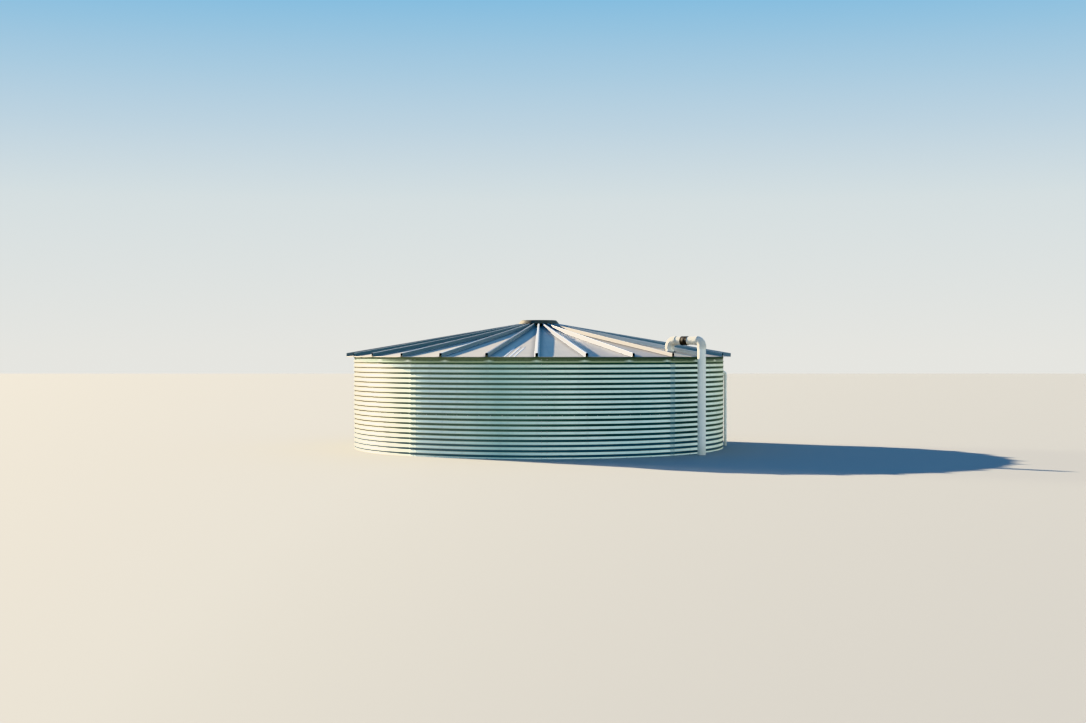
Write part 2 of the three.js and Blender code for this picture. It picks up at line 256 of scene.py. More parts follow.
class Value:
    """One output of a shader node. Arithmetic on it adds Math nodes to its material."""

    def __init__(self, tree, socket):
        self.tree, self.socket = tree, socket

    def node(self, kind, settings=None, inputs=None, output=0):
        """Any other node: its settings first, then the values or links of its sockets."""
        made = self.tree.nodes.new(kind)
        settings = dict(settings or {})
        stops = settings.pop("stops", None)
        for key, value in settings.items():
            setattr(made, key, value)
        if stops:
            ramp = made.color_ramp.elements
            ramp[0].position, ramp[-1].position = stops[0][0], stops[-1][0]
            for position, _ in stops[1:-1]:
                ramp.new(position)
            for element, (_, colour) in zip(ramp, stops):
                element.color = colour
        for key, value in (inputs or {}).items():
            if isinstance(value, Value):
                self.tree.links.new(value.socket, made.inputs[key])
            else:
                made.inputs[key].default_value = value
        return Value(self.tree, made.outputs[output])

    def math(self, operation, first, second=0.0):
        return self.node("ShaderNodeMath", {"operation": operation}, {0: first, 1: second})

    def __add__(self, other):
        return self.math("ADD", self, other)

    def __sub__(self, other):
        return self.math("SUBTRACT", self, other)

    def __mul__(self, other):
        return self.math("MULTIPLY", self, other)

    def __radd__(self, other):
        return self.math("ADD", other, self)

    def __rsub__(self, other):
        return self.math("SUBTRACT", other, self)

    def __rmul__(self, other):
        return self.math("MULTIPLY", other, self)

    def sin(self):
        return self.math("SINE", self)

    def cos(self):
        return self.math("COSINE", self)

    def abs(self):
        return self.math("ABSOLUTE", self)

    def root(self):
        return self.math("SQRT", self)

    def step(self, low, high):
        """0 at low and before it, 1 at high and past it, and a smooth rise between."""
        sockets = {"Value": self, "From Min": low, "From Max": high, "To Min": 0.0, "To Max": 1.0}
        return self.node("ShaderNodeMapRange", {"interpolation_type": "SMOOTHSTEP"}, sockets)

    def mix(self, first, second):
        """The first colour where this value is 0, the second where it is 1."""
        sockets = {"Factor": self, 6: first, 7: second}
        return self.node("ShaderNodeMix", {"data_type": "RGBA"}, sockets, output=2)

    def noise(self, scale, detail=3.0, roughness=0.55):
        sockets = {"Vector": self, "Scale": scale, "Detail": detail, "Roughness": roughness}
        return self.node("ShaderNodeTexNoise", None, sockets)

    def stretched(self, x, y, z):
        """A vector scaled along each axis, so that a pattern on it runs long or short that way."""
        return self.node("ShaderNodeVectorMath", {"operation": "MULTIPLY"}, {0: self, 1: (x, y, z)})

    def part(self, index):
        """One number of a colour or vector: 0, 1 or 2."""
        return self.node("ShaderNodeSeparateXYZ", None, {0: self}, index)

    def cells(self, scale):
        """A random number for each Voronoi cell."""
        return self.node("ShaderNodeTexVoronoi", None, {"Vector": self, "Scale": scale}, "Color").part(0)


# %% [markdown]
# A finish knows the tank
#
# Dirt, rain and sun mark a tank by side and by height, so a finish asks where on it a point is. It
# reads Object coordinates, never the view: the bearing is the arc tangent of x over -y.

# %% Finishes
BUMP_DEPTH = 0.001  # the height of a bump's 1, in metres


class Finish:
    """A new material: its coordinates, and a method that sets the shader's sockets."""

    def __init__(self, name):
        self.material = bpy.data.materials.new(name)
        self.material.use_nodes = True
        self.tree = self.material.node_tree
        self.shader = self.tree.nodes["Principled BSDF"]
        start = Value(self.tree, None)
        self.place = start.node("ShaderNodeTexCoord", output="Object")
        self.normal = start.node("ShaderNodeNewGeometry", output="Normal")
        self.x, self.y, self.z = (self.place.part(axis) for axis in range(3))

    def bearing(self):
        """The bearing round the tank in radians, from the front towards the right."""
        return self.x.math("ARCTAN2", self.x, 0 - self.y)

    def past(self, start, full):
        """0 at the bearing start and 1 at full, both in degrees."""
        return self.bearing().step(math.radians(start), math.radians(full))

    def between(self, start, full, fade, end):
        """0 outside two bearings and 1 between them, with soft edges, in degrees from left to right."""
        return self.past(start, full) * self.past(end, fade)

    def side(self, bearing, low, high):
        """1 on the tank's side at a bearing, 0 on the others: a step of the cosine of the angle."""
        return (self.bearing() - bearing).cos().step(low, high)

    def from_rib(self):
        """The angle to the nearest rib: the bearing folded back and forth over half a rib's step."""
        return self.x.math("PINGPONG", self.bearing() - FIRST_RIB, RIB_STEP / 2)

    def around(self, stops):
        """A colour that changes round the tank: stops are (degrees from the front, colour)."""
        share = self.bearing() * (0.5 / math.pi) + 0.5
        stops = [((degrees + 180) / 360, srgb(*colour)) for degrees, colour in stops]
        return share.node("ShaderNodeValToRGB", {"stops": stops}, {0: share})

    def attribute(self, name):
        """A number that each of the mesh's points carries."""
        return self.place.node("ShaderNodeAttribute", {"attribute_name": name}, output="Fac")

    def bump(self, height, strength):
        """A normal from a height, both from 0 to 1."""
        sockets = {"Height": height, "Strength": strength, "Distance": BUMP_DEPTH}
        return height.node("ShaderNodeBump", None, sockets)

    def set(self, **sockets):
        """Shader sockets by name, with _ for a space: values are set, links are linked."""
        for key, value in sockets.items():
            socket = self.shader.inputs[key.replace("_", " ")]
            if isinstance(value, Value):
                self.tree.links.new(value.socket, socket)
            else:
                socket.default_value = value
        return self.material


# %% [markdown]
# Galvanised wall steel
#
# Hot-dip zinc shows a spangle of crystals a centimetre or two wide, each a little lighter or darker.
# The side towards the low sun is a clean cream white. On the shaded side the slopes that face down
# are painted dark green-grey: painted shade, a painted reflection of dark ground. The lit slopes carry
# painted reflections of sky and ground too. The bands follow the corrugation by a sine of the height,
# and their colours the bearing, so they belong to the object and not to the view. Zinc that faces the
# sun is painted darker, or it would burn out.

# %% Wall colours
SUN_BEARING = math.radians(-126)  # where the low sun stands
LIT_SIDE_BEARING = math.radians(-122)  # the side that the low sun lights, kept free of painted shade
# cream, the sun side's lit slopes, and the painted shade of its down-facing slopes
CREAM, SUNNY, LIT_SIDE_SHADE = (228, 228, 214), (158, 158, 150), (62, 62, 54)
SUN_DARKENED = (98, 100, 96)  # zinc that faces the sun, painted darker so that the key doesn't burn it out
# the lit slopes round the tank: painted darker towards the sun, and on the shaded side brighter and
# tinted as a painted reflection of sky and ground
LIT_SLOPES_ROUND = [
    (-180, SUNNY), (-150, SUN_DARKENED), (-108, SUN_DARKENED), (-84, SUNNY), (-62, (190, 192, 182)),
    (-45, (222, 226, 212)), (-37, (230, 240, 226)), (-23, (240, 250, 230)), (-11, (194, 222, 208)),
    (8, (238, 254, 240)), (30, (214, 238, 232)), (55, (242, 254, 242)), (77, (246, 249, 214)),
    (92, (228, 236, 222)), (140, CREAM), (180, SUNNY),
]
# painted shade of the down-facing slopes round the tank, a painted reflection of dark ground
SHADED_SLOPES_ROUND = [
    (-180, LIT_SIDE_SHADE), (-66, LIT_SIDE_SHADE), (-52, (110, 110, 98)), (-40, (92, 106, 92)), (-4, (80, 104, 94)),
    (16, (34, 58, 54)), (38, (22, 60, 60)), (55, (68, 80, 70)), (77, (108, 124, 98)),
    (92, (92, 98, 84)), (180, LIT_SIDE_SHADE),
]
PIPE_REFLECTION_BEARING = math.radians(41.9)  # a painted reflection of the fill pipe: a dull strip at this bearing
EAVE_SHADE_Z = 1.927  # the wall is painted dim, as the eave's painted shade, above this height
SHADE_EDGE = (EAVE_SHADE_Z - 0.006, EAVE_SHADE_Z + 0.004)
SHADED_ROW_EDGE = (EAVE_SHADE_Z - 0.043, EAVE_SHADE_Z - 0.033)  # a painted shaded olive row starts here
LOW_SHADE_EDGE = (EAVE_SHADE_Z - 0.080, EAVE_SHADE_Z - 0.055)  # and a painted dark edge, painted shade, below it
ARC_RISE, ARC_HALF = 0.024, math.radians(2.0)  # but a painted light peak, a painted reflection, rises under each rib


# %% Wall finish
def wall_bands(finish, wander):
    """Two colours at each point: the lit slopes' zinc, cooler in patches, and the painted shade on slopes
    that face down, bluer near the ground as a painted reflection."""
    patches = finish.place.noise(0.55, 3.0, 0.5)
    # the lit slopes: painted darkening towards the sun and painted reflections of sky and ground
    # elsewhere
    lit_rows = (patches.step(0.35, 0.75) * 0.25).mix(finish.around(LIT_SLOPES_ROUND), srgb(196, 220, 206))
    # painted shade on slopes that face down, bluer near the ground as a painted reflection
    low = (finish.z + wander * 0.3).step(0.55, 0.15)
    painted_shade = (low * 0.4).mix(finish.around(SHADED_SLOPES_ROUND), srgb(70, 100, 130))
    return lit_rows, painted_shade


def under_eave(finish, phase, colour):
    """The wall's top rows, but for the sunlit side: painted shade under the eave, as a dark edge, an
    olive row and the eave's dim band, whose own light and dark follow the corrugation, and a painted
    reflection that rises as a light peak under each rib."""
    # painted reflection: a light peak rises under each rib
    lit_peak = finish.from_rib().math("MAXIMUM", 1 - finish.from_rib() * (1 / ARC_HALF), 0.0)
    sunlit = finish.side(LIT_SIDE_BEARING, 0.3, 0.65)
    # painted shade under the eave: a dark edge, an olive row and the dim band, less on the sunlit side
    low_shade = finish.z.step(*LOW_SHADE_EDGE) * (1 - lit_peak) * (1 - sunlit)
    colour = (low_shade * 0.4).mix(colour, srgb(34, 58, 50))
    shaded_row = finish.z.step(*SHADED_ROW_EDGE) * (1 - lit_peak) * (1 - sunlit * 0.8)
    colour = (shaded_row * 0.7).mix(colour, srgb(164, 182, 146))
    shade = phase.cos().step(-0.5, 0.9).mix(srgb(104, 120, 100), srgb(96, 114, 96))
    dim = (finish.z - lit_peak * ARC_RISE).step(*SHADE_EDGE) * (1 - sunlit * 0.5)
    return (dim * 0.94).mix(colour, shade)


def wall_steel():
    """Lit slopes and painted shade mixed by how far the corrugation faces down, then a painted
    reflection of the fill pipe, the painted shade under the eave, and the marks over all.
    """
    finish = Finish("galvanised_wall")
    place = finish.place
    phase = (finish.z - FIRST_CREST) * (2 * math.pi / PITCH)
    wander = place.noise(2.3, 3.0) - 0.5
    facing_down = (wander * 0.25 - phase.sin()).step(-0.42, 0.5)
    spangle = place.cells(62.0)
    streaks = place.stretched(9.0, 9.0, 0.7).noise(1.0, 4.0, 0.6)
    colour = facing_down.mix(*wall_bands(finish, wander))
    # painted reflection of the fill pipe
    pipe_reflection = (finish.bearing() - PIPE_REFLECTION_BEARING).abs().step(0.024, 0.010)
    colour = (pipe_reflection * 0.45).mix(colour, srgb(112, 146, 158))
    colour = under_eave(finish, phase, colour)
    # the marks show less on the painted shade
    unshaded = 1 - facing_down * 0.7
    colour = (streaks.step(0.45, 0.8) * unshaded * 0.2).mix(colour, srgb(150, 160, 155))
    colour = (spangle * unshaded * 0.10).mix(colour, srgb(226, 232, 232))
    gloss = 0.36 + spangle * 0.08 + facing_down * 0.45 + streaks * 0.08
    height = spangle * 0.35 + place.noise(190.0, 2.0) * 0.65
    return finish.set(Base_Color=colour, Metallic=0.35 - facing_down * 0.35, Roughness=gloss,
                      Specular_IOR_Level=0.3, Normal=finish.bump(height, 0.10))


WALL_STEEL = wall_steel()
print("wall finish:", len(WALL_STEEL.node_tree.nodes), "nodes")

# %% [markdown]
# Corrugated sheets with laps
#
# Each sheet is a grid over bearing and height. Its radius is the wall's middle radius plus half the
# corrugation's depth times a cosine of the height, which is rounder and truer than the model's
# zigzag. Where two sheets meet, the left one runs on over the right one and stands out by one sheet
# thickness, and the upper ring laps over the lower by one corrugation.

# %% Wall sheets
WALL_THICK = 0.0016
LAP_HALF = 0.085  # half the width of an upright lap
LAP_STEP = 0.0024  # how far the lapped sheet stands out
LAP_RAMP = 0.016  # the length over which it rises
RING_LAP = PITCH / 2  # how far each ring runs past their joint
POINTS_PER_PITCH = 12
SHEET_POINTS, RAMP_POINTS, LAP_POINTS = 36, 4, 5  # along the sheet, its rise and its lap


def smooth_step(value, low, high):
    """The smooth rise from 0 at low to 1 at high: 3t^2 - 2t^3 of the clipped fraction t."""
    t = np.clip((value - low) / (high - low), 0, 1)
    return t * t * (3 - 2 * t)


def wall_surface(bearing, z, from_seam, inset):
    """Radius = middle radius + half depth x cos(2 pi (z - crest) / pitch) + the lap's rise - inset.
    from_seam is the arc length past the lap's near edge."""
    wave = DEPTH / 2 * np.cos(2 * np.pi * (z - FIRST_CREST) / PITCH)
    rise = LAP_STEP * smooth_step(from_seam, -LAP_RAMP, 0)
    return polar(WALL_RADIUS + wave + rise - inset, bearing, z)


def wall_sheet(index, low, high, inset):
    """One sheet, from half a lap before its first seam to half a lap past its second."""
    half, ramp = LAP_HALF / WALL_RADIUS, LAP_RAMP / WALL_RADIUS
    start = FIRST_SEAM + (index - 1) * SHEET_STEP - half
    lap = FIRST_SEAM + index * SHEET_STEP - half
    bearings = np.concatenate([
        np.linspace(start, lap - ramp, SHEET_POINTS, endpoint=False),
        np.linspace(lap - ramp, lap, RAMP_POINTS, endpoint=False),
        np.linspace(lap, lap + 2 * half, LAP_POINTS),
    ])
    heights = np.linspace(low, high, round((high - low) / PITCH * POINTS_PER_PITCH) + 1)
    bearing, z = np.meshgrid(bearings, heights, indexing="ij")
    return shell(wall_surface(bearing, z, (bearing - lap) * WALL_RADIUS, inset), WALL_THICK)


for i in range(SHEETS):
    upper = wall_sheet(i, RING_JOINT - RING_LAP, WALL_TOP, 0.0)
    lower = wall_sheet(i, 0.0, RING_JOINT + RING_LAP, LAP_STEP + WALL_THICK)
    add_piece(f"upper_sheet_{i + 1}", upper, WALL_STEEL, "wall", [f"upper_wall_sheet_{i + 1}"])
    add_piece(f"lower_sheet_{i + 1}", lower, WALL_STEEL, "wall", [f"lower_wall_sheet_{i + 1}"])
print("wall sheets:", 2 * SHEETS, "of", len(upper[1]), "and", len(lower[1]), "quads")

# %% [markdown]
# Roof steel
#
# The roof is newer, smoother zinc, with faint marks that run down the slope and a soft cloudiness
# from rolling. Panels and ribs share this base, and each adds marks of its own over it, many of them
# painted shade and painted highlights. Towards the sun it is painted darker, as the wall is.

# %% Roof finishes
DARK_PANEL_BEARING = math.radians(29)  # the panels round here are the darkest


def rib_marks(finish, colour):
    """Upright sides get painted shade where they look away from the sun, and are painted a darker blue
    where they look at it, so that the key doesn't burn them out. Crowns get painted shade or a painted
    highlight by bearing, the ribs near 40 degrees get painted shade, and a rib's inside is painted dark
    as painted shade."""
    to_sun = finish.normal.part(0) * math.sin(LIT_SIDE_BEARING)
    to_sun = to_sun - finish.normal.part(1) * math.cos(LIT_SIDE_BEARING)
    upright = finish.normal.part(2).step(0.75, 0.35)
    crown = 1 - upright
    # painted shade on upright sides that look away from the sun
    painted_shade = finish.past(-55, -12).mix(srgb(84, 107, 119), srgb(124, 144, 152))
    colour = (upright * to_sun.step(0.25, -0.15)).mix(colour, painted_shade)
    # upright sides that look at the sun are painted darker, so that the key doesn't burn them out
    colour = (upright * to_sun.step(0.15, 0.6)).mix(colour, srgb(96, 104, 122))
    # painted shade on some crowns left of the front
    colour = (crown * finish.between(-20, -16, -10, -6) * 0.6).mix(colour, srgb(120, 125, 132))
    upper_left = finish.past(-16, -22) * finish.z.step(2.25, 2.45)
    colour = (crown * upper_left * 0.6).mix(colour, srgb(120, 130, 140))
    # painted highlight on the front crowns
    colour = (crown * finish.between(-8, -4, 4, 8) * 0.8).mix(colour, srgb(252, 250, 242))
    # painted shade on the ribs near 40 degrees
    colour = (finish.between(30, 36, 44, 50) * 0.6).mix(colour, srgb(138, 128, 118))
    # painted shade inside each rib
    return finish.attribute("inside").step(0.1, 0.6).mix(colour, srgb(16, 17, 18))


def panel_marks(finish, colour):
    """Darker panels round one bearing, creases with a painted highlight on each ridge and painted shade
    at its foot, and painted shade beside ribs.
    """
    radius = (finish.x * finish.x + finish.y * finish.y).root()
    # darker panels round one bearing
    colour = finish.side(DARK_PANEL_BEARING, 0.93, 0.985).mix(colour, srgb(186, 180, 171))
    fold = finish.attribute("crease")
    # painted shade at each crease's foot and a painted highlight on its ridge
    colour = (fold.step(0.02, 0.12) * 0.8).mix(colour, srgb(158, 164, 172))
    colour = fold.step(0.25, 0.6).mix(colour, srgb(252, 252, 250))
    # painted shade beside the ribs
    rib_foot_shade = (finish.from_rib() * radius).step(0.17, 0.04)
    return (rib_foot_shade * 0.7).mix(colour, srgb(142, 140, 134))


def roof_steel(name, light, dark, marks):
    """Clouds between two close colours, streaks down the slope, spangle, and then the marks."""
    finish = Finish(name)
    clouds = finish.place.noise(1.7, 4.0, 0.6)
    spangle = finish.place.cells(48.0)
    runs = finish.z.node("ShaderNodeCombineXYZ", None, {0: finish.bearing() * 60.0, 1: finish.z * 2.0})
    streaks = runs.noise(1.0, 4.0, 0.6)
    colour = clouds.step(0.3, 0.7).mix(light, dark)
    colour = (streaks.step(0.5, 0.85) * 0.3).mix(colour, srgb(150, 150, 146))
    colour = marks(finish, (spangle * 0.10).mix(colour, srgb(232, 236, 240)))
    # painted darker towards the sun, so that the key doesn't burn it out
    sunward = finish.side(SUN_BEARING, 0.5, 0.95)
    colour = (sunward * 0.75).mix(colour, srgb(118, 115, 110))
    gloss = 0.34 + clouds * 0.10 + spangle * 0.06 + streaks * 0.06
    height = spangle * 0.3 + finish.place.noise(160.0, 2.0) * 0.7
    return finish.set(Base_Color=colour, Metallic=0.2, Roughness=gloss, Specular_IOR_Level=0.3,
                      Normal=finish.bump(height, 0.08))


PANEL_STEEL = roof_steel("roof_panel_steel", srgb(212, 203, 186), srgb(202, 195, 182), panel_marks)
RIB_STEEL = roof_steel("roof_rib_steel", srgb(198, 206, 212), srgb(188, 198, 206), rib_marks)

# %% [markdown]
# Roof panels
#
# A panel is a flat sheet between two ribs, turned up at both sides under the ribs' hats, and folded
# down at the eave. Each is a grid, across from leg to leg and along from the peak to the eave. Thin
# steel never lies quite flat, so most sag by a centimetre in the middle; the flatter ones are listed.

# %% Roof lines
SEAT_Z = EAVE_Z + 0.002  # the panels' height at the eave


def rib_frame(rib, along):
    """The middle line of a rib's foot at distances along the slope's plan, and the sideways unit."""
    bearing = FIRST_RIB + rib * RIB_STEP
    return polar(along, bearing, SEAT_Z + ROOF_SLOPE * (EAVE_RADIUS - along)), tangent(bearing)


def down_slope(along):
    """The share of the way from the peak to the eave at a distance from the axis."""
    return (along - PEAK_RADIUS) / (EAVE_RADIUS - PEAK_RADIUS)


def taper(along):
    """A rib's width at a distance from the axis, over that at the eave."""
    return RIB_TAPER + (1 - RIB_TAPER) * down_slope(along)


def sheet_edges(rib, along, gap):
    """The left and right edges of the sheet right of a rib, each a gap inside its rib's middle."""
    left, left_side = rib_frame(rib, along)
    right, right_side = rib_frame(rib + 1, along)
    return left + gap * left_side, right - gap * right_side


# %% [markdown]
# Creases
#
# One front panel has three narrow ridges across its lower end. Each is a bell curve over the distance
# from its line. One function gives the mesh its rise and, as an attribute, the finish its painted
# highlight on each ridge and painted shade at its foot, so the two can't drift apart. That panel alone
# gets a fine grid.

# %% Creases
CREASED = -1  # the panel right of this rib is the creased one
CREASE_STARTS = (-0.665, -0.565, -0.475)  # x of each line at y = CREASE_Y
CREASE_Y = -4.2
CREASE_WAY = (0.179, 0.984)  # the lines' direction in plan, up the roof
CREASE_RISE, CREASE_WIDTH = 0.005, 0.014
CREASE_FADE, CREASE_END = 0.8, 1.30  # they die out between these distances along them


def creases(points):
    """Three ridges side by side: each rises by exp(-(d / width)^2), where d is the distance in plan
    from its line, and dies out along the line away from the eave."""
    off = points[..., None, :2] - np.array([(x, CREASE_Y) for x in CREASE_STARTS])
    along = off @ np.array(CREASE_WAY)
    aside = off @ np.array([CREASE_WAY[1], -CREASE_WAY[0]])
    rise = np.exp(-(aside / CREASE_WIDTH) ** 2) * (1 - smooth_step(along, CREASE_FADE, CREASE_END))
    return rise.sum(axis=-1)


# %% Panels
PANEL_THICK = 0.0015
PANEL_LEG = 0.022  # the turned-up side under a hat
PANEL_GAP = 0.016  # from the rib's middle to that leg, at the eave
PANEL_SAG, FLAT_SAG = 0.013, 0.003
FLAT_PANELS = (-6, -5, -4, -3, -2, -1, 1)  # the panels right of these ribs lie almost flat
PANEL_GRID, CREASED_GRID = (41, 15), (161, 120)  # points along and across
RIPPLE = 0.35  # the sag varies by this share of itself along a panel


def panel(rib):
    """Between ribs rib and rib + 1: a point is the left edge's plus a share s of the way to the right
    edge's, plus the side legs, less a sag of 4 s (1 - s) that dies out at the eave and the peak."""
    rows, columns = CREASED_GRID if rib == CREASED else PANEL_GRID
    along = np.linspace(PEAK_RADIUS, EAVE_RADIUS, rows)
    left, right = sheet_edges(rib, along, PANEL_GAP * taper(along)[:, None])
    share = np.concatenate([[0, 0], np.linspace(0, 1, columns)[1:-1], [1, 1]])
    lift = np.zeros(len(share))
    lift[[0, -1]] = PANEL_LEG
    s = share[None, :, None]
    points = left[:, None, :] * (1 - s) + right[:, None, :] * s
    length = down_slope(along)[:, None]
    bulge = 4 * share * (1 - share)
    belly = np.sin(np.pi * length) ** 0.7 * bulge
    ripple = RIPPLE * np.sin(7.0 * length + 2.1 * rib) * bulge
    sag = FLAT_SAG if rib in FLAT_PANELS else PANEL_SAG
    points[..., 2] += lift - sag * (belly + ripple * belly)
    if rib == CREASED:
        points[..., 2] += CREASE_RISE * creases(points)
    return shell(points, PANEL_THICK)


print("a plain panel:", len(panel(0)[1]), "quads; the creased one:", len(panel(CREASED)[1]))

# %% Folded eave
LIP_DROP = 0.003
LIP_SETBACK = 0.045  # the fold stops this far from a rib's middle
LIP_POINTS = 9  # along it
LIP_SECTION = np.array([  # distance out past the eave, and height
    (-0.030, 0.0012), (-0.004, 0.0012), (-0.001, 0.0004), (0.0, -0.002), (0.0, -LIP_DROP),
    (-0.002, -LIP_DROP - 0.002), (-0.009, -LIP_DROP - 0.003),
])


def lip(rib):
    """A strip along the panel's eave whose section goes out over the edge and straight down: a point
    is the edge's + distance x out + height x up, and rises with the slope."""
    left, right = sheet_edges(rib, EAVE_RADIUS, LIP_SETBACK)
    out = outward(FIRST_RIB + (rib + 0.5) * RIB_STEP)
    share = np.linspace(0, 1, LIP_POINTS)[None, :, None]
    section = LIP_SECTION[:, None, :]
    points = left * (1 - share) + right * share + section[..., :1] * out + section[..., 1:] * UP
    points[..., 2] -= section[..., 0] * ROOF_SLOPE
    return shell(points, PANEL_THICK)


# %% [markdown]
# Hollow ribs
#
# A hat covers the joint between two panels. Seen from its end it is an open box, 52 mm wide and
# 75 mm high, with a flange each side that lies on the panels. Its bends are small round corners,
# made from a few points each, and the section narrows as it runs up to the peak.

# %% Hats
HAT_THICK = 0.0018
HAT_TOP = 0.026  # half the width of the hat's top
HAT_FOOT = 0.029  # half its width at the foot
HAT_FLANGE = 0.024
HAT_CORNER = 0.005
HAT_BASE = 0.001  # the flanges' height over the rib's foot line
HAT_CREST = RIB_HEIGHT - 0.002
HAT_ROWS = 25  # points along a hat


def rounded(corners, radius, steps=3):
    """A polyline with each inner corner replaced by a few points on a quadratic curve: the corner
    itself pulls the curve, which starts and ends one radius from it."""
    points = [corners[0]]
    for before, corner, after in zip(corners, corners[1:], corners[2:]):
        corner = np.array(corner)
        ways = np.array([before, after]) - corner
        start, end = corner + radius * ways / np.linalg.norm(ways, axis=1, keepdims=True)
        for t in np.linspace(0, 1, steps + 1):
            points.append((1 - t) ** 2 * start + 2 * t * (1 - t) * corner + t * t * end)
    points.append(corners[-1])
    return np.array(points)


left_half = [(-HAT_FOOT - HAT_FLANGE, HAT_BASE), (-HAT_FOOT, HAT_BASE), (-HAT_TOP, HAT_CREST)]
HAT_SECTION = rounded(left_half + [(-x, z) for x, z in reversed(left_half)], HAT_CORNER)


def hat(rib):
    """The section carried along the rib: sideways offsets scale with the taper, heights don't."""
    along = np.linspace(PEAK_RADIUS, EAVE_RADIUS, HAT_ROWS)
    line, side = rib_frame(rib, along)
    wide = HAT_SECTION[:, 0][None, :, None] * taper(along)[:, None, None]
    points = line[:, None, :] + wide * side
    points[..., 2] += HAT_SECTION[:, 1] + HAT_THICK
    return shell(points, HAT_THICK)


print("a hat:", len(HAT_SECTION), "points across,", len(hat(0)[1]), "quads")

# %% Roof sections
for i in range(SHEETS):
    ribs = range(RIBS_PER_SECTION * i - 1, RIBS_PER_SECTION * (i + 1) - 1)
    sheets = joined([panel(rib - 1) for rib in ribs] + [lip(rib - 1) for rib in ribs])
    add_piece(f"panel_sheets_{i + 1}", sheets, PANEL_STEEL, "roof", [f"roof_panels_{i + 1}"],
              crease=creases(sheets[0]))
    hats = joined([hat(rib) for rib in ribs])
    half = len(hats[0]) // RIBS_PER_SECTION // 2
    inside = np.tile(np.repeat([0.0, 1.0], half), RIBS_PER_SECTION)
    add_piece(f"hat_ribs_{i + 1}", hats, RIB_STEEL, "roof", [f"roof_ribs_{i + 1}"], inside=inside)
print("roof:", RIBS, "panels and hats")

# %% [markdown]
# The cap
#
# A sheet lid lies on the rib tops. Its skirt slopes from the nearly flat top to a plain rim. It is a
# profile of radius and height turned about the axis, and its steel is duller than the roof's.

# %% Cap
CAP_THICK = 0.002
CAP_BEND = 0.02  # how far from a fold its bend starts
CAP_PIN = 0.001  # its middle closes this near the axis
CAP_SIDES = 96


def cap_finish():
    """Clouds between two browns, greyer towards the sun, and painted shade on the left of the front."""
    finish = Finish("weathered_cap")
    clouds = finish.place.noise(7.0, 4.0, 0.6)
    colour = clouds.step(0.3, 0.75).mix(srgb(114, 106, 88), srgb(94, 88, 74))
    sunny = finish.side(LIT_SIDE_BEARING, 0.2, 0.75)
    colour = (sunny * 0.6).mix(colour, srgb(112, 110, 100))
    # painted shade on the left of the front
    colour = (finish.between(-56, -42, -22, -8) * 0.75).mix(colour, srgb(52, 56, 56))
    return finish.set(Base_Color=colour, Metallic=0.2, Roughness=0.45 + clouds * 0.2,
                      Normal=finish.bump(finish.place.noise(120.0, 2.0), 0.1))


corners = [(CAP_PIN, CAP_TOP + CAP_RISE), (CAP_FLAT, CAP_TOP), (CAP_RIM, CAP_RIM_Z + CAP_THICK)]
outer = rounded(corners, CAP_BEND, 5)
inner = outer[::-1] - np.array([0.0, CAP_THICK])
profile = np.concatenate([outer, inner])[::-1, ::-1]
cap = spun(profile, np.zeros(3), UP, outward(0.0), CAP_SIDES)
add_piece("vent_cap", cap, cap_finish(), "cap", ["roof_cap"])
print("cap:", len(cap[1]), "quads")

# %% [markdown]
# White pipe and its fittings
#
# The pipes are smooth white plastic, a darker cream over the roof and dusty towards the ground.
# Straight pipes and elbows are one kind of surface: a circle carried along a path, with a radius that
# changes along it, so that a fitting's collars come from the same profile.

# %% Pipe finish
CREAM_HEIGHTS = (2.13, 2.25)  # between these heights the pipe goes from white to cream


def pvc():
    """Mottled white with faint runs, dust near the ground, and cream above the roof."""
    finish = Finish("white_pipe")
    mottle = finish.place.noise(9.0, 4.0, 0.6)
    runs = finish.place.stretched(30.0, 30.0, 1.2).noise(1.0, 4.0, 0.6)
    colour = mottle.step(0.3, 0.75).mix(srgb(252, 253, 244), srgb(243, 245, 236))
    colour = (runs.step(0.5, 0.85) * 0.3).mix(colour, srgb(196, 202, 200))
    dust = (finish.z + mottle * 0.2).step(0.45, 0.05)
    colour = (dust * 0.4).mix(colour, srgb(170, 172, 150))
    # the pipe is a darker cream above these heights
    above_roof = finish.z.step(*CREAM_HEIGHTS)
    colour = (above_roof * 0.85).mix(colour, srgb(206, 202, 190))
    return finish.set(Base_Color=colour, Roughness=0.34 + mottle * 0.18,
                      Normal=finish.bump(finish.place.noise(240.0, 2.0), 0.05))


WHITE_PIPE = pvc()

# %% Pipe surfaces
PIPE_SIDES = 48
PIPE_ROWS = 6  # points along a straight pipe, between its chamfers' ends
BEND_POINTS = 22  # round an elbow's quarter circle
CLEARANCE = 0.0003  # between a pipe and the fitting round it
EASE, CHAMFER = 0.008, 0.004  # the lengths of an elbow's step behind its mouth, and of its chamfer


def swept(centres, in_plane, sideways, radius, bore):
    """A hollow pipe: circle points = centre + r (cos a x sideways + sin a x in_plane), outside from
    start to end with the outer radius, then back along the inside with the bore."""
    angle = np.linspace(0, 2 * np.pi, PIPE_SIDES, endpoint=False)[:, None, None]

    def skin(size):
        size = np.broadcast_to(size, len(centres))[None, :, None]
        return centres[None] + size * (np.cos(angle) * sideways + np.sin(angle) * in_plane[None])

    return ring_body(np.concatenate([skin(radius), skin(bore)[:, ::-1]], axis=1))


